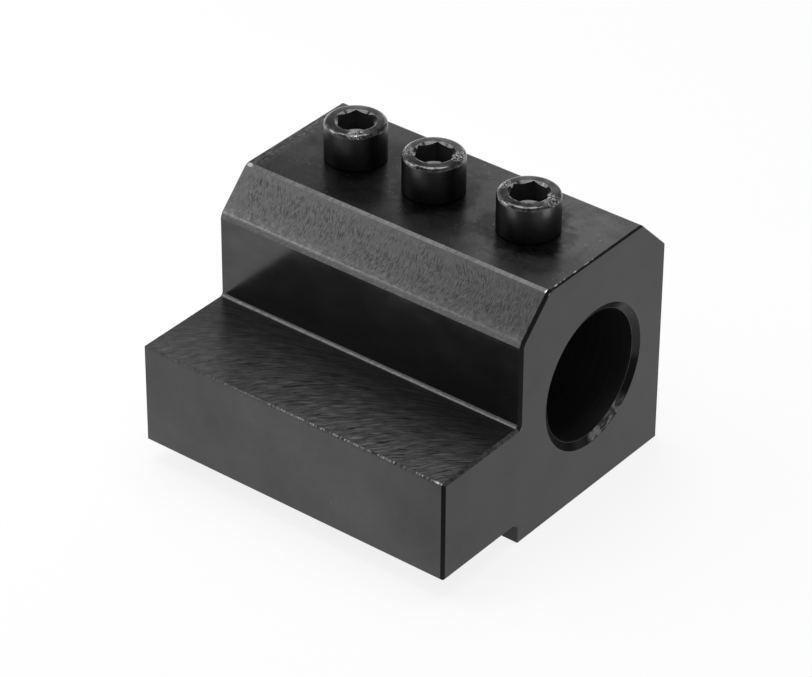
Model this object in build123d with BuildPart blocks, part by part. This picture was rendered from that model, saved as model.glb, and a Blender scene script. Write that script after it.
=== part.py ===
from build123d import *
import math
import os

# Boring bar holder block for a lathe tool post. All sizes are in millimetres.
# X runs across the block with the clamping leg on -X. Y runs along the bar bore with the front end at -Y.
# Z points up to the clamp screws. The origin is the centre of the bar bore, half way along the block.

# Driving dimensions of the block
block_length = 106.5
bore_radius = 20.0
bore_mouth_diameter = 44.5
bore_mouth_angle = 120.0
wall_above_bore = 19.5
bore_to_leg_side = 34.0
bore_to_free_side = 32.4
bore_height = 31.1
leg_height = 32.0
leg_width = 33.6
body_drop = 6.9
shoulder_chamfer = 11.7
root_fillet = 1.2
heel_fillet = 1.6
crest_bevel = 0.7
brow_bevel = 0.95
long_edge_break = 0.35
end_edge_break = 0.25
front_leg_side_break = 0.9
front_top_break = 0.55

# Driving dimensions of the clamp screws, socket head cap screws with a 12 mm thread
thread_diameter = 12.0
thread_clearance = 0.08
hole_countersink = 0.9
head_diameter = 18.25
head_height = 11.6
head_crown_radius = 1.3
head_foot_bevel = 0.2
neck_fillet = 0.6
tip_chamfer = 1.3
hex_across_flats = 10.15
socket_depth = 6.0
socket_mouth_diameter = 12.0
countersink_angle = 120.0
drill_point_angle = 120.0
head_gap = 0.15
tip_clearance = 0.05

# Each clamp screw has its distance from the front end and the turn of its hexagon in degrees
screw_stations = {
    "clamp_screw_front": (23.75, 24.0),
    "clamp_screw_middle": (56.75, 28.0),
    "clamp_screw_rear": (84.75, 38.0),
}

# Levels and radii that follow from the sizes above
front_end = -block_length / 2
leg_bottom = -bore_height
leg_top = leg_bottom + leg_height
leg_outer = -bore_to_leg_side - leg_width
body_bottom = leg_bottom - body_drop
body_top = bore_radius + wall_above_bore
shoulder_level = body_top - shoulder_chamfer
crest_x = -bore_to_leg_side + shoulder_chamfer
far_crest_x = bore_to_free_side - shoulder_chamfer
bore_mouth_radius = bore_mouth_diameter / 2
bore_mouth_depth = (bore_mouth_radius - bore_radius) / math.tan(math.radians(bore_mouth_angle / 2))
thread_radius = thread_diameter / 2
hole_radius = thread_radius + thread_clearance
head_radius = head_diameter / 2
head_seat = body_top + head_gap
screw_length = wall_above_bore + head_gap - tip_clearance
socket_radius = hex_across_flats / 2
mouth_radius = socket_mouth_diameter / 2
mouth_depth = (mouth_radius - socket_radius) / math.tan(math.radians(countersink_angle / 2))
floor_depth = socket_radius / math.tan(math.radians(drill_point_angle / 2))

# Corners of the block's section: rounded ones, bevelled ones and those with a plain broken edge
rounded_corners = [
    ((-bore_to_leg_side, leg_top), root_fillet),
    ((-bore_to_leg_side, leg_bottom), heel_fillet),
]
bevelled_corners = [
    ((-bore_to_leg_side, shoulder_level), brow_bevel),
    ((crest_x, body_top), crest_bevel),
]
plain_corners = [
    (leg_outer, leg_bottom),
    (leg_outer, leg_top),
    (far_crest_x, body_top),
    (bore_to_free_side, shoulder_level),
    (bore_to_free_side, body_bottom),
    (-bore_to_leg_side, body_bottom),
]


def leg_side(edges):
    """Edges of an end face from the side of the leg up to the crest."""
    within_width = edges.filter_by_position(Axis.X, leg_outer, crest_x + crest_bevel)
    return within_width.filter_by_position(Axis.Z, leg_bottom + leg_height / 4, body_top)


def top_edge(edges):
    """Edge of an end face along the top of the block."""
    return edges.sort_by_distance((0, front_end, body_top))[:1]


os.makedirs("parts", exist_ok=True)

# Holder block: one section with its leg and shoulders, drawn out along the bore
with BuildPart() as holder_block:
    with BuildSketch(Plane.XZ.offset(-front_end)) as section:
        with BuildLine():
            Polyline(
                (leg_outer, leg_bottom),
                (leg_outer, leg_top),
                (-bore_to_leg_side, leg_top),
                (-bore_to_leg_side, shoulder_level),
                (crest_x, body_top),
                (far_crest_x, body_top),
                (bore_to_free_side, shoulder_level),
                (bore_to_free_side, body_bottom),
                (-bore_to_leg_side, body_bottom),
                (-bore_to_leg_side, leg_bottom),
                close=True,
            )
        make_face()
        for corner, radius in rounded_corners:
            fillet(section.vertices().sort_by_distance(corner)[0], radius)
        for corner, bevel in bevelled_corners:
            chamfer(section.vertices().sort_by_distance(corner)[0], bevel)
    extrude(amount=-block_length)

    # Broken edges of both ends: wide down the leg side of the front end, narrower along its top, fine elsewhere
    front_edges = holder_block.edges().group_by(Axis.Y)[0]
    chamfer(leg_side(front_edges), front_leg_side_break)
    front_edges = holder_block.edges().group_by(Axis.Y)[0]
    chamfer(top_edge(front_edges), front_top_break)
    front_edges = holder_block.edges().group_by(Axis.Y)[0]
    rear_edges = holder_block.edges().group_by(Axis.Y)[-1]
    chamfer(front_edges - leg_side(front_edges) - top_edge(front_edges) + rear_edges, end_edge_break)

    # Broken edges along the block
    edges_along = holder_block.edges().filter_by(Axis.Y)
    chamfer([edges_along.sort_by_distance((x, 0, z))[0] for x, z in plain_corners], long_edge_break)

    # Bar bore, right through, countersunk at both mouths
    with BuildSketch(Plane.XZ.offset(-front_end)):
        Circle(bore_radius)
    extrude(amount=-block_length, mode=Mode.SUBTRACT)
    with Locations(Plane.XZ.offset(block_length / 2), Plane.ZX.offset(block_length / 2)):
        Cone(
            bore_radius,
            bore_mouth_radius,
            bore_mouth_depth,
            align=(Align.CENTER, Align.CENTER, Align.MAX),
            mode=Mode.SUBTRACT,
        )

    # Screw holes from the top face into the bore
    with Locations(*[(0, front_end + station, body_top) for station, turn in screw_stations.values()]):
        CounterSinkHole(
            radius=hole_radius,
            counter_sink_radius=hole_radius + hole_countersink,
            depth=body_top,
            counter_sink_angle=90,
        )
holder_block.part.label = "holder_block"
export_step(holder_block.part, "parts/holder_block.step")

# Clamp screws: each is turned about its own axis, then gets its hexagon socket
for screw_name, (station, turn) in screw_stations.items():
    station_y = front_end + station
    with BuildPart() as clamp_screw:
        seat = Plane(origin=(0, station_y, head_seat), x_dir=(1, 0, 0), z_dir=(0, -1, 0))
        with BuildSketch(seat) as screw_half:
            with BuildLine():
                Polyline(
                    (0, -screw_length),
                    (thread_radius - tip_chamfer, -screw_length),
                    (thread_radius, -screw_length + tip_chamfer),
                    (thread_radius, 0),
                    (head_radius - head_foot_bevel, 0),
                    (head_radius, head_foot_bevel),
                    (head_radius, head_height),
                    (0, head_height),
                    close=True,
                )
            make_face()
            fillet(screw_half.vertices().sort_by_distance((head_radius, head_height))[0], head_crown_radius)
            fillet(screw_half.vertices().sort_by_distance((thread_radius, 0))[0], neck_fillet)
        revolve(axis=Axis((0, station_y, head_seat), (0, 0, 1)))

        # Socket with a countersunk mouth, six flats and a drilled floor
        head_face = Plane.XY.offset(head_seat + head_height)
        with BuildSketch(head_face):
            with Locations((0, station_y)):
                RegularPolygon(socket_radius, 6, major_radius=False, rotation=turn)
        extrude(amount=-socket_depth, mode=Mode.SUBTRACT)
        with Locations((0, station_y, head_seat + head_height)):
            Cone(
                socket_radius,
                mouth_radius,
                mouth_depth,
                align=(Align.CENTER, Align.CENTER, Align.MAX),
                mode=Mode.SUBTRACT,
            )
        with Locations((0, station_y, head_seat + head_height - socket_depth)):
            Cone(
                0,
                socket_radius,
                floor_depth,
                align=(Align.CENTER, Align.CENTER, Align.MAX),
                mode=Mode.SUBTRACT,
            )
    clamp_screw.part.label = screw_name
    export_step(clamp_screw.part, f"parts/{screw_name}.step")
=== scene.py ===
import math
from types import SimpleNamespace

import bmesh
import bpy
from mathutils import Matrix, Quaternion, Vector


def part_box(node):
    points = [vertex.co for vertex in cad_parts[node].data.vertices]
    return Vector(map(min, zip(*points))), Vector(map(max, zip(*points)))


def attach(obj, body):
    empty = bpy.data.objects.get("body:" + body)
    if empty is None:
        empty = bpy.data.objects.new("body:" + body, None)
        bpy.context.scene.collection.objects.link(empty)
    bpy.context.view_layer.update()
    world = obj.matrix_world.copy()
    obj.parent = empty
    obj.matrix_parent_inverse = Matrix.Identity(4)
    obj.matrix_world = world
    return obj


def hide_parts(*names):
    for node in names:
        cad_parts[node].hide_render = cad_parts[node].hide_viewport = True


# Boring bar holder block. Lengths are in metres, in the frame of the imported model: the bore runs along Y,
# the clamping leg is on -X and the clamp screws point up.
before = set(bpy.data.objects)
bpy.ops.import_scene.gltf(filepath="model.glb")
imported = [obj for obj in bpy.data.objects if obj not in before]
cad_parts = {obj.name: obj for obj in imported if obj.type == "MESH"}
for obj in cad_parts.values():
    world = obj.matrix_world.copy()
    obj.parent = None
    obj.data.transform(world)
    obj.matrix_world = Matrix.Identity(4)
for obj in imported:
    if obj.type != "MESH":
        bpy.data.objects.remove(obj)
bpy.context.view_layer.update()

MM = 0.001

# Camera: where it stands, the point it looks at, its roll and its lens
camera_place = Vector((-0.7371, -0.5660, 0.6125))
camera_aim = Vector((-0.0199, -0.0026, 0.0019))
camera_roll = math.radians(0.37)
camera_lens = 173.43
sensor_width = 36.0

# Soft lamps: name, place, point that it faces, width, length and brightness
lamps = [
    ("overhead", (0.02, 0.10, 0.80), (0.0, 0.0, 0.0), 0.62, 0.66, 3.4),
    ("rear_left", (-0.42, 0.72, 0.56), (-0.03, 0.03, 0.03), 0.60, 0.55, 1.7),
    ("side_card", (0.15, 0.135, 0.105), (0.0, 0.135, 0.105), 0.21, 0.09, 1.15),
]
room_grey = 0.36

# Floor: a flat disc whose rim sweeps up, and how much of it glows when it is seen or mirrored
floor_grey = 0.85
floor_glow = 0.85
floor_radius = 2.6
floor_sweep = 0.9
floor_sweep_angle = math.radians(80.0)
floor_sides = 96
floor_rings = 10

# Sizes of the block, read from the frame where a node gives them
block_low, block_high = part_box("holder_block")
body_top = block_high.z
leg_outer = block_low.x
leg_top = 0.9 * MM
leg_bottom = -31.1 * MM
leg_side = -34.0 * MM
bore_radius = 20.0 * MM
mouth_radius = 22.25 * MM
shoulder_drop = 11.7 * MM
crest_x = leg_side + shoulder_drop
brow_x = leg_side + 0.67 * MM
brow_z = body_top - shoulder_drop + 0.67 * MM

# Greys of the block's faces where they have no marks
oxide_grey = 0.046
shoulder_grey = 0.082
leg_grey = 0.047
# Painted light: the leg side's grey is raised to stand in for the brighter reflection it should show
leg_side_painted_light_grey = 0.076
# Painted light: the wall's grey is raised too, for the brighter reflection it should show
wall_painted_light_grey = 0.068
top_grey = 0.047
brow_grey = 0.092
# Painted shade: the front bevels' grey is near black, for the dark they should mirror
bevel_painted_shade_grey = 0.009
bore_grey = 0.070

# Share of the steel that reflects as metal. The rest scatters like dark oxide.
metal_share = 0.9

# Depth of the block's marks, and roughness of its faces
block_relief = 0.02 * MM
oxide_roughness = 0.30
shoulder_roughness = 0.34
leg_roughness = 0.40
top_roughness = 0.21
bevel_roughness = 0.45
bore_roughness = 0.32
mouth_roughness = 0.42
dull_mouth_roughness = 0.85

# Marks on the block: arcs of the face mill, unit direction to the worn corner of the leg, ring on the top
mill_radius = 77.0 * MM
mill_x = -111.5 * MM
worn_corner_x = -0.78
worn_corner_y = 0.62
ring_mark_centre = (-1.4 * MM, 22.9 * MM, body_top)
ring_mark_radius = 6.5 * MM
ring_mark_width = 0.4 * MM

# Grey of the bore mouth at angles round the bore, in degrees from +X towards +Z: painted light and shade
mouth_painted_light_greys = [
    (-150, 0.004), (-127, 0.008), (-120, 0.003), (-92, 0.003), (-84, 0.030), (-48, 0.030),
    (-40, 0.002), (-14, 0.002), (-8, 0.020), (56, 0.022), (64, 0.006), (90, 0.006),
]

# Clamp screws, each with the turn of its hexagon in degrees
hexagon_turn = {"clamp_screw_front": 24.0, "clamp_screw_middle": 28.0, "clamp_screw_rear": 38.0}
screw_boxes = [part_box(node) for node in hexagon_turn]
screw_axes = [(low.y + high.y) / 2 for low, high in screw_boxes]
head_top = screw_boxes[0][1].z

# Sizes of a clamp screw
head_radius = 9.12 * MM
head_height = 11.6 * MM
head_crown = 1.3 * MM
head_foot = 0.2 * MM
thread_radius = 5.98 * MM
thread_root = 5.05 * MM
thread_pitch = 1.75 * MM
neck_radius = 0.6 * MM
tip_bevel = 1.3 * MM
socket_flats = 10.15 * MM
socket_depth = 6.0 * MM
socket_mouth_radius = 6.0 * MM
countersink_slope = math.tan(math.radians(60.0))
screw_columns = 96
crown_steps = 6
neck_steps = 3
merge_distance = 0.002 * MM
shortest_edge = 0.001 * MM
sharp_angle = math.radians(20.0)

# Greys and roughness of a screw's faces, and depth of its marks
screw_grey = 0.026
ring_grey = 0.012
countersink_grey = 0.020
rim_grey = 0.040
socket_grey = 0.12
screw_roughness = 0.26
countersink_roughness = 0.13
rim_roughness = 0.06
screw_relief = 0.06 * MM

# One turn of the thread from crest to crest: share of the pitch and radius
thread_form = [
    (0.0, thread_radius),
    (0.125, thread_radius),
    (0.4375, thread_root),
    (0.5625, thread_root - 0.04 * MM),
    (0.6875, thread_root),
]

# Unit direction from the front left corner towards the rear right. The painted light and shade on the
# screws and the unlit part of the floor follow it.
rear_x = 0.786
rear_y = 0.618

# Knocks on the top rings of the screws: place and radius of each
head_knocks = [
    (0.2 * MM, -37.4 * MM, 3.6 * MM),
    (-1.3 * MM, -22.0 * MM, 2.8 * MM),
    (-3.9 * MM, 9.9 * MM, 3.4 * MM),
    (2.6 * MM, -3.0 * MM, 3.4 * MM),
    (-6.0 * MM, 26.9 * MM, 3.0 * MM),
]


class Graph:
    """Shader nodes of one material or world, written as small sums."""

    def __init__(self, tree):
        self.tree = tree
        tree.nodes.clear()

    def add(self, kind, **settings):
        made = self.tree.nodes.new(kind)
        for name, value in settings.items():
            setattr(made, name, value)
        return made

    def feed(self, socket, value):
        if isinstance(value, bpy.types.NodeSocket):
            self.tree.links.new(value, socket)
        else:
            socket.default_value = value

    def math(self, operation, *values):
        made = self.add("ShaderNodeMath", operation=operation)
        for socket, value in zip(made.inputs, values):
            self.feed(socket, value)
        return made.outputs[0]

    def plus(self, a, b, *more):
        made = self.math("ADD", a, b)
        for value in more:
            made = self.math("ADD", made, value)
        return made

    def minus(self, a, b):
        return self.math("SUBTRACT", a, b)

    def times(self, a, b, *more):
        made = self.math("MULTIPLY", a, b)
        for value in more:
            made = self.math("MULTIPLY", made, value)
        return made

    def most(self, a, b):
        return self.math("MAXIMUM", a, b)

    def without(self, share):
        """What a share leaves of 1."""
        return self.minus(1.0, share)

    def swing(self, noise, amount):
        """A noise around zero instead of 0.5, as strong as the amount says."""
        return self.times(self.minus(noise, 0.5), amount)

    def length(self, a, b):
        return self.math("SQRT", self.plus(self.times(a, a), self.times(b, b)))

    def step(self, value, low, high, out_low=0.0, out_high=1.0):
        """Smooth step of a value from low to high, which may lie below low."""
        made = self.add("ShaderNodeMapRange", interpolation_type="SMOOTHSTEP")
        for name, part in zip(("Value", "From Min", "From Max", "To Min", "To Max"),
                              (value, low, high, out_low, out_high)):
            self.feed(made.inputs[name], part)
        return made.outputs["Result"]

    def step_degrees(self, angle, low, high):
        return self.step(angle, math.radians(low), math.radians(high))

    def facing(self, value, side=1):
        """1 where this part of the normal is within about ten degrees of its axis, on the side given."""
        return self.step(value, side * 0.97, side * 0.99)

    def blend(self, share, a, b):
        """a where the share is 0, b where it is 1."""
        made = self.add("ShaderNodeMix", data_type="FLOAT")
        self.feed(made.inputs["Factor"], share)
        self.feed(made.inputs["A"], a)
        self.feed(made.inputs["B"], b)
        return made.outputs["Result"]

    def split(self, vector):
        made = self.add("ShaderNodeSeparateXYZ")
        self.feed(made.inputs[0], vector)
        return made.outputs[0], made.outputs[1], made.outputs[2]

    def join(self, x, y, z):
        made = self.add("ShaderNodeCombineXYZ")
        for socket, value in zip(made.inputs, (x, y, z)):
            self.feed(socket, value)
        return made.outputs[0]

    def noise(self, vector, scale=1.0, detail=2.0, roughness=0.5, distortion=0.0):
        made = self.add("ShaderNodeTexNoise", noise_dimensions="3D", normalize=True)
        self.feed(made.inputs["Vector"], vector)
        made.inputs["Scale"].default_value = scale
        made.inputs["Detail"].default_value = detail
        made.inputs["Roughness"].default_value = roughness
        made.inputs["Distortion"].default_value = distortion
        return made.outputs["Fac"]

    def streaks(self, a, a_scale, b, b_scale, seed, **settings):
        """Noise on two coordinates, each with its own scale."""
        return self.noise(self.join(self.times(a, a_scale), self.times(b, b_scale), seed), **settings)

    def grooves(self, across, along, width, length, seed):
        """Uneven grooves, narrow in one direction and long in the other. They lie around 0.5."""
        return self.streaks(across, 1.0 / width, along, 1.0 / length, seed, detail=2.0)

    def grey(self, value):
        made = self.add("ShaderNodeCombineColor", mode="RGB")
        for socket in made.inputs:
            self.feed(socket, value)
        return made.outputs[0]

    def ramp(self, angle, stops):
        """Value that changes with an angle, from its stops in degrees."""
        made = self.add("ShaderNodeValToRGB")
        share = self.plus(0.5, self.times(angle, 0.5 / math.pi))
        self.feed(made.inputs["Fac"], share)
        ramp = made.color_ramp
        for i, (degrees, value) in enumerate(stops):
            position = 0.5 + degrees / 360.0
            stop = ramp.elements[i] if i < 2 else ramp.elements.new(position)
            stop.position = position
            stop.color = (value, value, value, 1.0)
        return made.outputs["Color"]

    def nearest(self, value, places):
        """Whichever of the places in rising order is nearest to the value."""
        found = places[0]
        for low, high in zip(places, places[1:]):
            past = self.math("GREATER_THAN", value, (low + high) / 2)
            found = self.plus(found, self.times(past, high - low))
        return found

    def near(self, position, place, inner, outer):
        """1 within the inner distance of a place, 0 beyond the outer one."""
        made = self.add("ShaderNodeVectorMath", operation="DISTANCE")
        self.feed(made.inputs[0], position)
        made.inputs[1].default_value = place
        return self.step(made.outputs["Value"], inner, outer, 1.0, 0.0)

    def line_at(self, a, a_place, b, b_place, inner, outer):
        """1 along an edge that lies at two given coordinates, fading out between two distances."""
        away = self.length(self.minus(a, a_place), self.minus(b, b_place))
        return self.step(away, inner, outer, 1.0, 0.0)


class Steel(Graph):
    """Graph of a metal, whose grey, roughness and relief are changed by one mark after another."""

    def start(self, tone, rough, height):
        self.tone = tone
        self.rough = rough
        self.height = height

    def cover(self, mask, tone, rough=None):
        self.tone = self.blend(mask, self.tone, tone)
        if rough is not None:
            self.rough = self.blend(mask, self.rough, rough)

    def lighten(self, amount):
        self.tone = self.plus(self.tone, amount)

    def multiply(self, factor):
        self.tone = self.times(self.tone, factor)

    def lift(self, amount):
        self.height = self.plus(self.height, amount)

    def shade(self, relief):
        """Leads grey, roughness and relief into the shader."""
        shader = self.add("ShaderNodeBsdfPrincipled")
        shader.inputs["Metallic"].default_value = metal_share
        self.feed(shader.inputs["Base Color"], self.grey(self.tone))
        self.feed(shader.inputs["Roughness"], self.rough)
        bump = self.add("ShaderNodeBump")
        bump.inputs["Strength"].default_value = 1.0
        bump.inputs["Distance"].default_value = relief
        self.feed(bump.inputs["Height"], self.height)
        self.feed(shader.inputs["Normal"], bump.outputs["Normal"])
        output = self.add("ShaderNodeOutputMaterial")
        self.feed(output.inputs["Surface"], shader.outputs[0])


def new_material(name, kind):
    made = bpy.data.materials.new(name)
    made.use_nodes = True
    return made, kind(made.node_tree)


def block_places(g):
    """Coordinates on the block and masks of its faces, told apart by direction and by place."""
    at = SimpleNamespace()
    at.place = g.add("ShaderNodeTexCoord").outputs["Object"]
    at.x, at.y, at.z = g.split(at.place)
    at.reach = g.length(at.x, at.z)
    at.turn = g.math("ARCTAN2", at.z, at.x)
    nx, ny, nz = g.split(g.add("ShaderNodeNewGeometry").outputs["True Normal"])
    tilt = g.times(g.minus(nz, nx), math.sqrt(0.5))

    outside = g.math("GREATER_THAN", at.reach, mouth_radius + 1.0 * MM)
    above_leg = g.step(at.z, 15.0 * MM, 25.0 * MM)
    at.below_leg = g.step(at.z, leg_bottom, leg_bottom - 0.4 * MM)
    past_leg = g.step(at.x, -50.0 * MM, -45.0 * MM)
    points_up = g.times(g.facing(nz), outside)
    points_left = g.times(g.facing(nx, -1), outside)
    at.on_shoulder = g.times(g.facing(tilt), outside)
    at.on_top = g.times(points_up, above_leg)
    at.on_leg = g.times(points_up, g.without(above_leg))
    at.on_wall = g.times(points_left, past_leg)
    at.on_leg_side = g.times(points_left, g.without(past_leg))
    at.on_brow = g.times(g.step(nx, -0.86, -0.90), g.step(nx, -0.96, -0.94), outside)
    at.on_crest = g.times(g.step(tilt, 0.90, 0.92), g.step(tilt, 0.97, 0.95), g.step(nz, 0.90, 0.92))
    at.off_rear = g.step(ny, 0.97, 0.90)
    at.on_front_bevel = g.times(
        g.step(ny, -0.60, -0.66),
        g.step(ny, -0.80, -0.74),
        g.step(tilt, 0.40, 0.45),
        g.without(at.below_leg),
    )
    at.on_leg_bevel = g.times(at.on_front_bevel, g.step(nz, 0.60, 0.68), g.without(above_leg))

    off_front = g.without(g.facing(ny, -1))
    within_bore = g.step(at.reach, bore_radius + 0.1 * MM, bore_radius)
    within_mouth = g.step(at.reach, mouth_radius + 0.1 * MM, mouth_radius)
    at.in_bore = g.times(within_bore, off_front)
    at.in_mouth = g.times(within_mouth, g.without(within_bore), off_front)
    return at


def mark_shoulder(g, at):
    """Ground shoulder: short curved strokes down the slope on mottled grey, paler along its lower edge."""
    slope = g.times(g.plus(at.x, at.z), math.sqrt(0.5))
    curl = g.swing(g.noise(at.place, scale=100.0, detail=1.0), 0.8)
    bend = g.step(at.y, 40.0 * MM, 0.0, -12.0, -29.0)
    lean = g.plus(g.times(slope, bend), g.step(at.y, 40.0 * MM, 0.0, -0.15, 0.10), curl)
    across = g.plus(at.y, g.times(slope, lean))
    strokes = g.grooves(across, slope, 0.27 * MM, 2.5 * MM, 1.0)
    crossing = g.grooves(g.plus(across, g.times(slope, 0.45)), slope, 0.28 * MM, 1.6 * MM, 5.0)
    dark = g.most(g.step(strokes, 0.37, 0.50, 1.0, 0.0), g.step(crossing, 0.34, 0.45, 0.9, 0.0))
    amount = g.times(
        g.step(slope, -3.4 * MM, 0.5 * MM, 0.35, 1.0),
        g.step(slope, 11.5 * MM, 8.5 * MM, 0.35, 1.0),
        g.step(g.noise(at.place, scale=150.0, detail=3.0), 0.34, 0.58, 0.45, 1.0),
        g.step(at.y, 52.5 * MM, 47.0 * MM, 0.35, 1.0),
    )
    mottle = g.noise(at.place, scale=600.0, detail=4.0, roughness=0.65)
    fleck = g.noise(at.place, scale=2600.0, detail=1.0)
    light = g.times(g.step(crossing, 0.54, 0.64), amount, 0.014)
    ground = g.plus(shoulder_grey, g.swing(mottle, 0.060), light, g.swing(fleck, 0.050))
    ground = g.times(ground, g.step(at.y, -50.0 * MM, 20.0 * MM, 0.93, 1.0))
    pale = g.times(g.step(slope, 0.5 * MM, -2.5 * MM), g.step(mottle, 0.42, 0.62), 0.030)
    tone = g.times(g.plus(ground, pale), g.without(g.times(dark, amount, 0.60)))
    g.cover(at.on_shoulder, tone, shoulder_roughness)
    g.lift(g.times(at.on_shoulder, strokes, amount, 0.9))


def mark_leg(g, at):
    """Top of the leg: arcs of a large face mill, dark and light, fainter at the rear outer corner. Painted
    light makes it darker next to the wall and paler towards the outer edge.
    """
    across = g.minus(at.x, mill_x)
    centre_y = g.math("SQRT", g.minus(mill_radius ** 2, g.times(across, across)))
    waver = g.swing(g.noise(at.place, scale=170.0, detail=2.0), 2.4 * MM)
    arc = g.plus(g.minus(at.y, centre_y), waver)
    coarse = g.grooves(arc, at.x, 0.80 * MM, 6.0 * MM, 3.0)
    thin = g.grooves(arc, at.x, 0.40 * MM, 4.5 * MM, 9.0)
    to_corner = g.plus(g.times(at.y, worn_corner_y), g.times(at.x, worn_corner_x))
    kept = g.step(to_corner, 45.0 * MM, 75.0 * MM, 1.0, 0.45)
    dark = g.times(g.step(coarse, 0.37, 0.48, 1.0, 0.0), kept)
    light = g.times(g.step(thin, 0.54, 0.61), kept)
    mottle = g.noise(at.place, scale=420.0, detail=4.0, roughness=0.65)
    # Painted light: darker next to the wall and paler towards the outer edge, most so towards the front
    outward = g.step(
        at.x, -42.0 * MM, -68.0 * MM,
        g.step(at.y, 20.0 * MM, -30.0 * MM, 0.70, 0.52),
        g.step(at.y, 20.0 * MM, -30.0 * MM, 1.38, 1.64),
    )
    tone = g.times(g.plus(leg_grey, g.swing(mottle, 0.055)), outward, g.without(g.times(dark, 0.75)))
    g.cover(at.on_leg, g.plus(tone, g.times(light, outward, 0.056)), leg_roughness)
    g.lift(g.times(at.on_leg, g.minus(thin, dark), 0.5))


def mark_leg_side(g, at):
    """Outer side of the leg: painted paler as painted light, for the brighter reflection it should show,
    with dim smudges and a few specks.
    """
    specks = g.times(at.dust, g.step(at.smudge, 0.50, 0.56), 0.07)
    g.cover(at.on_leg_side, g.plus(leg_side_painted_light_grey, g.swing(at.smudge, 0.055), specks))


def mark_wall(g, at):
    """Wall: smooth, painted paler as painted light for the brighter reflection it should show, with clouds
    and faint lengthwise marks, and darker below the leg.
    """
    cloud_place = g.join(g.times(at.x, 60.0), g.times(at.y, 60.0), g.times(at.z, 110.0))
    cloud = g.noise(cloud_place, detail=5.0, roughness=0.65)
    lengthwise = g.streaks(at.z, 900.0, at.y, 40.0, 7.0, detail=2.0)
    tone = g.plus(wall_painted_light_grey, g.swing(cloud, 0.060), g.swing(lengthwise, 0.020))
    rough = g.plus(g.step(at.z, 12.0 * MM, 26.0 * MM, 0.19, 0.13), g.swing(cloud, 0.20))
    g.cover(at.on_wall, g.times(tone, g.without(g.times(at.below_leg, 0.5))), rough)


def mark_top(g, at):
    """Top: oily stains, a faint ring and a strip of scuffs along the rear edge. It is darker round the
    screws, and painted darker towards the rear and paler towards the front: painted light.
    """
    from_screw = g.length(at.x, g.minus(at.y, g.nearest(at.y, screw_axes)))
    stain = g.noise(at.place, scale=75.0, detail=5.0, roughness=0.62, distortion=0.6)
    spread = g.plus(from_screw, g.swing(stain, 26.0 * MM))
    dark_round_screws = g.step(spread, 10.5 * MM, 15.0 * MM, g.step(at.y, 20.0 * MM, 35.0 * MM, 0.60, 0.35), 0.0)
    smear = g.streaks(at.x, 150.0, at.y, 95.0, 3.0, detail=5.0, roughness=0.68, distortion=0.8)
    smeared = g.times(g.step(smear, 0.50, 0.60), g.step(from_screw, 20.0 * MM, 11.0 * MM, 0.15, 0.50))
    ring_mark = g.times(
        g.near(at.place, ring_mark_centre, ring_mark_radius, ring_mark_radius + ring_mark_width),
        g.without(g.near(at.place, ring_mark_centre, ring_mark_radius - ring_mark_width, ring_mark_radius)),
        g.step(stain, 0.40, 0.55, 0.9, 0.4),
    )
    # Painted light: the step along Y makes the top darker towards the rear and paler towards the front
    tone = g.times(
        g.plus(top_grey, g.swing(stain, 0.090)),
        g.without(dark_round_screws),
        g.without(smeared),
        g.step(at.y, 15.0 * MM, -50.0 * MM, 0.58, 1.50),
        g.without(ring_mark),
    )
    scuff = g.streaks(at.x, 600.0, at.y, 900.0, 6.0, detail=4.0, roughness=0.75)
    rear_strip = g.times(g.step(at.y, 47.0 * MM, 51.5 * MM), g.step(scuff, 0.46, 0.60), 0.07)
    tone = g.plus(tone, rear_strip, g.times(at.dust, 0.10))
    g.cover(at.on_top, tone, g.plus(top_roughness, g.times(stain, 0.14)))


def mark_brow(g, at):
    """Brow of the shoulder: ragged bright metal, brightest along its upper edge."""
    torn = g.streaks(g.plus(at.y, g.times(at.z, 1.2)), 2500.0, at.z, 900.0, 3.0, detail=3.0, roughness=0.7)
    g.cover(at.on_brow, g.plus(brow_grey, g.times(g.step(torn, 0.34, 0.66), 0.080)))
    edge = g.line_at(at.x, brow_x, at.z, brow_z, 0.18 * MM, 0.60 * MM)
    rearward = g.step(at.y, -50.0 * MM, 40.0 * MM, 0.45, 1.0)
    g.lighten(g.times(edge, g.step(at.ragged, 0.30, 0.66, 0.2, 1.0), rearward, 0.10))


def mark_crest(g, at):
    """Crest of the shoulder: a painted highlight, strongest towards the rear and broken by scuffs, with a
    bright nick at either end.
    """
    # Painted highlight: the crest's grey is raised, broken by scuffs, and raised more towards the rear
    scuffs_and_painted_highlight = g.plus(0.95, g.times(g.step(at.ragged, 0.30, 0.70), 0.85))
    rearward = g.step(at.y, -35.0 * MM, 10.0 * MM, 0.90, 1.60)
    g.multiply(g.blend(at.on_crest, 1.0, g.times(scuffs_and_painted_highlight, rearward)))
    nick_z = body_top - 0.4 * MM
    front_nick = g.near(at.place, (crest_x, block_low.y + 0.4 * MM, nick_z), 0.4 * MM, 1.1 * MM)
    rear_nick = g.near(at.place, (crest_x, block_high.y - 1.4 * MM, nick_z), 0.4 * MM, 1.3 * MM)
    g.lighten(g.plus(g.times(front_nick, 0.5), g.times(rear_nick, at.on_crest, 0.30)))


def mark_root(g, at):
    """Root of the wall: a painted highlight along its fillet, uneven along its length."""
    # Painted highlight along the fillet at the root of the wall
    root = g.line_at(at.x, leg_side, at.z, leg_top, 0.66 * MM, 0.98 * MM)
    g.lighten(g.times(root, at.off_rear, g.step(at.ragged, 0.30, 0.60, 0.5, 1.0), 0.045))


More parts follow.
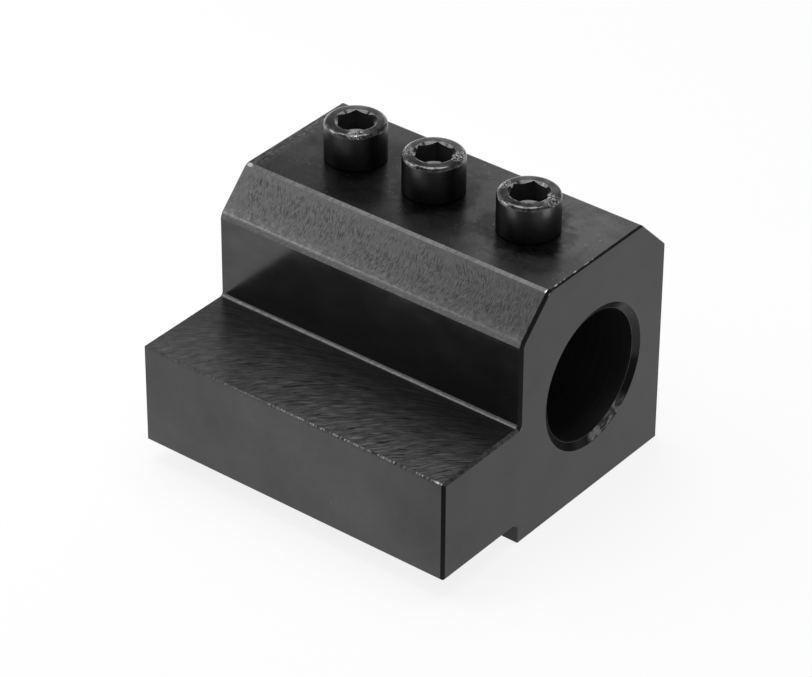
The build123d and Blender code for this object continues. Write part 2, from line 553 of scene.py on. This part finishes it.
def mark_leg_edge(g, at):
    """Outer top edge of the leg: dark ticks and bright burrs, most towards the front, and a nick there."""
    edge_x = leg_outer + 0.2 * MM
    edge_z = leg_top - 0.2 * MM
    edge = g.line_at(at.x, edge_x, at.z, edge_z, 0.12 * MM, 0.45 * MM)
    toward_front = g.step(at.y, 45.0 * MM, -20.0 * MM)
    g.multiply(g.without(g.times(edge, g.step(at.y, 0.0, 30.0 * MM, 0.1, 0.45))))
    burr = g.streaks(at.y, 2400.0, at.x, 500.0, 2.0, detail=3.0, roughness=0.8)
    burrs = g.times(edge, g.step(burr, 0.50, 0.68), toward_front, 0.45)
    nick = g.near(at.place, (edge_x, block_low.y + 1.8 * MM, edge_z), 0.6 * MM, 1.8 * MM)
    g.lighten(g.plus(burrs, g.times(nick, edge, 0.45)))
    tick = g.streaks(at.y, 1900.0, at.z, 450.0, 8.0, detail=2.0, roughness=0.7)
    below_edge = g.times(at.on_leg_side, g.step(at.z, leg_top - 1.6 * MM, edge_z))
    depth = g.plus(0.35, g.times(toward_front, 0.40))
    g.multiply(g.without(g.times(g.most(below_edge, edge), g.step(tick, 0.48, 0.58), depth)))


def mark_front_bevels(g, at):
    """Filed bevels of the front end, painted near black as painted shade for the dark they should mirror,
    but chipped along the top of the leg.
    """
    speckle = g.noise(at.place, scale=700.0, detail=3.0, roughness=0.7)
    g.cover(at.on_front_bevel, g.plus(bevel_painted_shade_grey, g.times(speckle, 0.012)), bevel_roughness)
    outward = g.step(at.x, leg_side, leg_side - 18.0 * MM, 0.125, 0.075)
    g.cover(at.on_leg_bevel, g.times(outward, g.step(speckle, 0.38, 0.60, 0.5, 1.1)))
    edge = g.line_at(at.y, block_low.y + 0.5 * MM, at.z, body_top, 0.06 * MM, 0.26 * MM)
    dashes = g.streaks(at.x, 700.0, at.y, 200.0, 9.0, detail=3.0, roughness=0.7)
    leftward = g.step(at.x, 6.0 * MM, -4.0 * MM)
    g.lighten(g.times(edge, g.step(dashes, 0.50, 0.58, 0.06, 1.0), leftward, 0.70))


def mark_bore(g, at):
    """Bore: fine turned rings."""
    ring_place = g.join(g.times(at.y, 2200.0), g.times(at.x, 30.0), g.times(at.z, 30.0))
    rings = g.noise(ring_place, detail=3.0, roughness=0.7)
    g.cover(at.in_bore, g.plus(bore_grey, g.times(rings, 0.080)), bore_roughness)


def mark_mouth(g, at):
    """Turned cone of a bore mouth, whose grey is painted lighter and darker round the bore: painted light
    and shade. The front one is knocked low down.
    """
    rings = g.streaks(at.reach, 2600.0, at.turn, 7.0, 0.0, detail=3.0, roughness=0.7)
    patches = g.step(g.streaks(at.turn, 9.0, at.reach, 500.0, 5.0, detail=2.0), 0.46, 0.58)
    grey = g.times(g.ramp(at.turn, mouth_painted_light_greys), g.plus(0.45, rings))
    knocked = g.times(
        g.step_degrees(at.turn, -94, -86),
        g.step_degrees(at.turn, -42, -50),
        g.step(at.y, 0.0, -10.0 * MM),
    )
    flash = g.plus(g.times(g.step(rings, 0.50, 0.68), 0.12), g.times(patches, rings, 0.24))
    dull = g.plus(g.step_degrees(at.turn, -100, -118), g.step_degrees(at.turn, 48, 64))
    rough = g.blend(dull, mouth_roughness, dull_mouth_roughness)
    g.cover(at.in_mouth, g.plus(grey, g.times(knocked, flash)), rough)


# Marks of the block in the order in which they go over one another
block_marks = [
    mark_shoulder, mark_leg, mark_leg_side, mark_wall, mark_top, mark_brow, mark_crest, mark_root,
    mark_leg_edge, mark_front_bevels, mark_bore, mark_mouth,
]


def blackened_steel():
    """Black oxide over ground, milled and bored steel. Each face has the marks of the way it was cut."""
    material, g = new_material("blackened_steel", Steel)
    at = block_places(g)
    at.smudge = g.noise(at.place, scale=55.0, detail=4.0, roughness=0.6)
    at.dust = g.step(g.noise(at.place, scale=1300.0, detail=0.0), 0.81, 0.84)
    at.ragged = g.streaks(at.y, 1300.0, at.z, 500.0, 4.0, detail=4.0, roughness=0.8)
    grain = g.noise(at.place, scale=1500.0, detail=2.0, roughness=0.6)
    g.start(
        tone=g.plus(oxide_grey, g.swing(at.smudge, 0.034), g.swing(grain, 0.008)),
        rough=g.plus(oxide_roughness, g.swing(at.smudge, 0.15)),
        height=g.times(grain, 0.2),
    )
    for mark in block_marks:
        mark(g, at)
    g.shade(block_relief)
    return material


def screw_places(g):
    """Coordinates on whichever screw this is and masks of its faces."""
    at = SimpleNamespace()
    at.place = g.add("ShaderNodeTexCoord").outputs["Object"]
    at.x, at.y, at.z = g.split(at.place)
    nz = g.split(g.add("ShaderNodeNewGeometry").outputs["True Normal"])[2]

    # Place about the screw's own axis, and how far that is towards the rear right and the rear left
    off = g.minus(at.y, g.nearest(at.y, screw_axes))
    radius = g.length(at.x, off)
    at.rear_right = g.plus(g.times(at.x, rear_x), g.times(off, rear_y))
    at.rearward = g.math("DIVIDE", at.rear_right, radius)
    at.leftward = g.math("DIVIDE", g.plus(g.times(at.x, -rear_y), g.times(off, rear_x)), radius)

    just_outside = socket_mouth_radius + 0.05 * MM
    just_inside = socket_mouth_radius - 0.05 * MM
    at.on_ring = g.times(g.facing(nz), g.step(radius, socket_mouth_radius, just_outside))
    at.on_countersink = g.times(g.step(nz, 0.75, 0.80), g.step(radius, just_outside, socket_mouth_radius))
    at.on_rim = g.times(
        g.step(nz, 0.05, 0.30), g.step(radius, head_radius - head_crown, head_radius - head_crown / 2))
    at.in_socket = g.times(
        g.step(radius, just_inside, socket_mouth_radius - 0.10 * MM),
        g.step(nz, 0.7, 0.6),
        g.step(at.z, body_top, body_top + 1.0 * MM),
    )
    at.on_lip = g.times(
        g.step(radius, just_inside, socket_mouth_radius),
        g.step(radius, socket_mouth_radius + 0.26 * MM, socket_mouth_radius + 0.18 * MM),
        g.step(nz, 0.3, 0.5),
    )
    return at


def painted_light_round_head(g, at):
    """Factor of the grey round a head, painted light and shade: painted shade low down and on the left, and
    painted highlights near the rim.
    """
    # Painted highlights near the rim on either side, the right ones towards the front screws only
    left_painted_highlight = g.times(g.step(at.leftward, 0.32, 0.52), g.step(at.leftward, 0.56, 0.76, 1.0, 0.0))
    right_painted_highlight = g.times(
        g.step(at.leftward, -0.32, -0.48),
        g.step(at.leftward, -0.54, -0.72, 1.0, 0.0),
        g.step(at.y, 0.0, -20.0 * MM, 0.0, 1.4),
    )
    painted_highlights = g.times(
        g.plus(left_painted_highlight, right_painted_highlight),
        g.step(at.z, head_top - 5.0 * MM, head_top - 1.5 * MM),
        g.step(at.y, 30.0 * MM, -30.0 * MM, 0.4, 1.6),
    )
    # Painted shade: darker on the left of the head and low down by its seat, a little paler on the right
    shade = g.step(at.leftward, -0.3, 0.4, 1.1, 0.65)
    painted_shade_low_down = g.step(at.z, head_top - 9.0 * MM, head_top - 4.0 * MM, 0.85, 1.0)
    return g.times(g.plus(shade, painted_highlights), painted_shade_low_down)


def black_screw_steel():
    """Oiled black oxide, knocked about on the top ring. Painted highlights brighten the far side of the
    socket, its near lip, the left side of the rim and the head's sides near the rim. Painted shade darkens
    the head low down and on the left.
    """
    material, g = new_material("black_screw_steel", Steel)
    at = screw_places(g)
    grain = g.noise(at.place, scale=900.0, detail=3.0, roughness=0.6)
    mottle = g.noise(at.place, scale=260.0, detail=4.0, roughness=0.6)
    g.start(
        tone=g.times(g.plus(screw_grey, g.times(mottle, 0.04)), painted_light_round_head(g, at)),
        rough=g.plus(screw_roughness, g.times(grain, 0.12)),
        height=g.times(grain, 0.12),
    )

    # Flat ring on top of the head
    ring_tone = g.plus(ring_grey, g.times(g.step(mottle, 0.38, 0.62), 0.050))
    g.cover(at.on_ring, g.times(ring_tone, g.step(at.leftward, 0.1, 0.7, 1.0, 0.5)))

    # Countersink of the socket, with a painted highlight on its far side, kept out of the lamp's glare
    past_glare = g.step(g.plus(at.rearward, g.step(at.leftward, -0.2, -0.5, 0.0, 0.08)), 0.85, 0.76)
    far_side_painted_highlight = g.times(past_glare, g.step(at.rearward, 0.40, 0.50), 0.45)
    tone = g.plus(countersink_grey, g.times(g.step(at.rearward, 0.7, 0.9), 0.030), far_side_painted_highlight)
    g.cover(at.on_countersink, g.times(tone, g.plus(0.6, g.times(grain, 0.8))), countersink_roughness)

    # Crowned rim, with its shine broken up by chips and a painted highlight on its left side
    chips = g.step(g.noise(at.place, scale=520.0, detail=3.0, roughness=0.7), 0.40, 0.56, 0.40, 1.25)
    rim_tone_with_painted_highlight = g.plus(rim_grey, g.times(mottle, 0.060), g.times(g.step(at.leftward, 0.5, 0.9), 0.12))
    g.cover(at.on_rim, g.times(rim_tone_with_painted_highlight, chips), g.plus(rim_roughness, g.times(grain, 0.08)))

    # Walls of the socket, and a painted highlight along its lip, strongest on the front left
    g.cover(at.in_socket, socket_grey)
    near_side_painted_highlight = g.step(at.rear_right, 0.0, -4.0 * MM, 0.2, 1.0)
    g.lighten(g.times(at.on_lip, g.step(grain, 0.42, 0.60), near_side_painted_highlight, 0.35))

    # Knocks on the ring and the rim
    dents = g.noise(at.place, scale=1300.0, detail=2.0, roughness=0.5, distortion=1.5)
    struck = 0.0
    for knock_x, knock_y, knock_radius in head_knocks:
        knock = g.near(at.place, (knock_x, knock_y, head_top), knock_radius / 2, knock_radius)
        struck = g.most(struck, knock)
    battered = g.times(g.most(at.on_ring, at.on_rim), struck)
    g.lift(g.times(battered, g.step(dents, 0.48, 0.60), 1.2))
    g.lighten(g.times(battered, g.step(dents, 0.52, 0.60), 0.35))
    g.shade(screw_relief)
    return material


def pale_floor():
    """Pale floor, nearly white to the camera with a faint shadow left in it. The steel mirrors it dark
    towards the front left corner, where no lamp reaches it."""
    material, g = new_material("pale_floor", Graph)
    rays = g.add("ShaderNodeLightPath").outputs
    mirrored = g.most(rays["Is Glossy Ray"], rays["Is Transmission Ray"])
    seen = g.most(rays["Is Camera Ray"], mirrored)
    paint = g.add("ShaderNodeBsdfDiffuse")
    paint.inputs["Color"].default_value = (floor_grey, floor_grey, floor_grey, 1.0)
    x, y, _ = g.split(g.add("ShaderNodeTexCoord").outputs["Object"])
    forward = g.plus(g.times(x, -rear_x), g.times(y, -rear_y))
    aside = g.math("ABSOLUTE", g.plus(g.times(x, rear_y), g.times(y, -rear_x), 25.0 * MM))
    unlit = g.times(
        g.step(forward, 80.0 * MM, 130.0 * MM),
        g.step(forward, 500.0 * MM, 800.0 * MM, 1.0, 0.0),
        g.step(aside, 50.0 * MM, 95.0 * MM, 1.0, 0.0),
    )
    sheen = g.without(g.times(unlit, 0.82))
    glow = g.add("ShaderNodeEmission")
    glow.inputs["Color"].default_value = (1.0, 1.0, 1.0, 1.0)
    g.feed(glow.inputs["Strength"], g.blend(rays["Is Camera Ray"], sheen, 1.0))
    mixed = g.add("ShaderNodeMixShader")
    g.feed(mixed.inputs[0], g.times(seen, floor_glow))
    g.feed(mixed.inputs[1], paint.outputs[0])
    g.feed(mixed.inputs[2], glow.outputs[0])
    output = g.add("ShaderNodeOutputMaterial")
    g.feed(output.inputs["Surface"], mixed.outputs[0])
    return material


def add_floor():
    """Round floor whose rim sweeps up into a low wall, so that no edge shows."""
    made = bmesh.new()
    middle = made.verts.new((0.0, 0.0, block_low.z))
    rows = []
    for i in range(floor_rings + 1):
        a = floor_sweep_angle * i / floor_rings
        radius = floor_radius + floor_sweep * math.sin(a)
        height = block_low.z + floor_sweep * (1.0 - math.cos(a))
        angles = [2 * math.pi * k / floor_sides for k in range(floor_sides)]
        rows.append([made.verts.new((radius * math.cos(b), radius * math.sin(b), height)) for b in angles])
    for k in range(floor_sides):
        n = (k + 1) % floor_sides
        made.faces.new((middle, rows[0][k], rows[0][n]))
        for low, high in zip(rows, rows[1:]):
            made.faces.new((low[k], high[k], high[n], low[n]))
    mesh = bpy.data.meshes.new("floor")
    made.to_mesh(mesh)
    made.free()
    mesh.polygons.foreach_set("use_smooth", [True] * len(mesh.polygons))
    floor = bpy.data.objects.new("floor", mesh)
    bpy.context.scene.collection.objects.link(floor)
    mesh.materials.append(pale_floor())


def add_softbox(name, place, aim, width, length, radiance):
    """Rectangular lamp of a given brightness. A lamp's power is four times its area for each unit of it."""
    data = bpy.data.lights.new(name, "AREA")
    data.shape = "RECTANGLE"
    data.size = width
    data.size_y = length
    data.energy = radiance * 4.0 * width * length
    lamp = bpy.data.objects.new(name, data)
    lamp.location = place
    lamp.rotation_mode = "QUATERNION"
    lamp.rotation_quaternion = (Vector(aim) - Vector(place)).to_track_quat("-Z", "Y")
    bpy.context.scene.collection.objects.link(lamp)


def add_world():
    world = bpy.data.worlds.new("studio")
    world.use_nodes = True
    g = Graph(world.node_tree)
    room = g.add("ShaderNodeBackground")
    room.inputs["Color"].default_value = (room_grey, room_grey, room_grey, 1.0)
    output = g.add("ShaderNodeOutputWorld")
    g.feed(output.inputs["Surface"], room.outputs[0])
    bpy.context.scene.world = world


def add_camera():
    data = bpy.data.cameras.new("camera")
    data.sensor_fit = "HORIZONTAL"
    data.sensor_width = sensor_width
    data.lens = camera_lens
    camera = bpy.data.objects.new("camera", data)
    camera.location = camera_place
    camera.rotation_mode = "QUATERNION"
    facing = (camera_aim - camera_place).to_track_quat("-Z", "Y")
    camera.rotation_quaternion = facing @ Quaternion((0.0, 0.0, 1.0), camera_roll)
    bpy.context.scene.collection.objects.link(camera)
    bpy.context.scene.camera = camera


def head_points(angle, turn):
    """Points (radius, height) of a head's half section at one angle, from the rim of the socket floor up
    and over to the thread's neck. Heights are above the head's underside."""
    flat = socket_flats / 2
    sector = (angle - turn + math.pi / 6) % (math.pi / 3) - math.pi / 6
    wall = flat / math.cos(sector)
    socket_floor = head_height - socket_depth
    points = [
        (flat, socket_floor),
        (wall, socket_floor),
        (wall, head_height - (socket_mouth_radius - wall) / countersink_slope),
        (socket_mouth_radius, head_height),
    ]
    for i in range(crown_steps + 1):
        a = math.radians(90.0) * i / crown_steps
        drop = head_crown * (1.0 - math.cos(a))
        points.append((head_radius - head_crown * (1.0 - math.sin(a)), head_height - drop))
    points.append((head_radius, head_foot))
    points.append((head_radius - head_foot, 0.0))
    for i in range(neck_steps + 1):
        a = math.radians(90.0) * i / neck_steps
        radius = thread_radius + neck_radius * (1.0 - math.sin(a))
        points.append((radius, -neck_radius * (1.0 - math.cos(a))))
    return points


def thread_points(angle, length):
    """Points (radius, height) down one side of the thread, from the neck to the tip. Each turn has a crest,
    two flanks and a rounded root. The points sink by one pitch round the screw, and so join as a helix."""
    share = angle / (2 * math.pi)
    neck = -neck_radius
    tip = -length
    points = []
    for k in range(math.ceil(length / thread_pitch) + 2):
        for part, radius in thread_form:
            height = neck + thread_pitch * (1.0 - k - part - share)
            held = min(neck, max(tip, height))
            bevel = thread_radius - max(0.0, tip_bevel - (held - tip))
            points.append((thread_radius if height >= neck else min(radius, bevel), held))
    return points


def add_screw(node, material):
    """Socket head cap screw with a true helical thread, in place of its plain solid."""
    low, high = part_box(node)
    axis = (low + high) / 2
    seat = high.z - head_height
    length = seat - low.z
    turn = math.radians(hexagon_turn[node])
    made = bmesh.new()

    def ring_point(angle, radius, height):
        x = axis.x + radius * math.cos(angle)
        y = axis.y + radius * math.sin(angle)
        return made.verts.new((x, y, seat + height))

    floor_middle = ring_point(0.0, 0.0, head_height - socket_depth - socket_flats / 2 / math.sqrt(3.0))
    tip_middle = ring_point(0.0, 0.0, -length)
    heads = []
    threads = []
    for c in range(screw_columns):
        # Columns start at a corner of the hexagon, so that its edges are sharp
        round_screw = 2 * math.pi * c / screw_columns
        angle = turn + round_screw
        heads.append([ring_point(angle, r, h) for r, h in head_points(angle, turn + math.pi / 6)])
        threads.append([ring_point(angle, r, h) for r, h in thread_points(round_screw, length)])
    for c in range(screw_columns):
        n = (c + 1) % screw_columns
        made.faces.new((floor_middle, heads[n][0], heads[c][0]))
        for i in range(len(heads[c]) - 1):
            made.faces.new((heads[c][i], heads[n][i], heads[n][i + 1], heads[c][i + 1]))
        shift = len(thread_form) if n == 0 else 0
        last = len(threads[c]) - 1
        for i in range(last - shift):
            j = i + shift
            made.faces.new((threads[c][i], threads[n][j], threads[n][j + 1], threads[c][i + 1]))
        made.faces.new((threads[c][last], threads[n][last], tip_middle))
    bmesh.ops.remove_doubles(made, verts=made.verts, dist=merge_distance)
    bmesh.ops.dissolve_degenerate(made, edges=made.edges, dist=shortest_edge)
    bmesh.ops.recalc_face_normals(made, faces=made.faces)
    mesh = bpy.data.meshes.new(node + "_threaded")
    made.to_mesh(mesh)
    made.free()
    screw = bpy.data.objects.new(node + "_threaded", mesh)
    bpy.context.scene.collection.objects.link(screw)
    mesh.materials.append(material)
    for polygon in mesh.polygons:
        polygon.use_smooth = True
    mesh.set_sharp_from_angle(angle=sharp_angle)
    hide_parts(node)
    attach(screw, node)


def dress_block():
    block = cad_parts["holder_block"]
    block.data.materials.clear()
    block.data.materials.append(blackened_steel())


bpy.context.scene.view_settings.view_transform = "Standard"
dress_block()
screw_material = black_screw_steel()
for screw_node in hexagon_turn:
    add_screw(screw_node, screw_material)
add_floor()
add_world()
for lamp in lamps:
    add_softbox(*lamp)
add_camera()
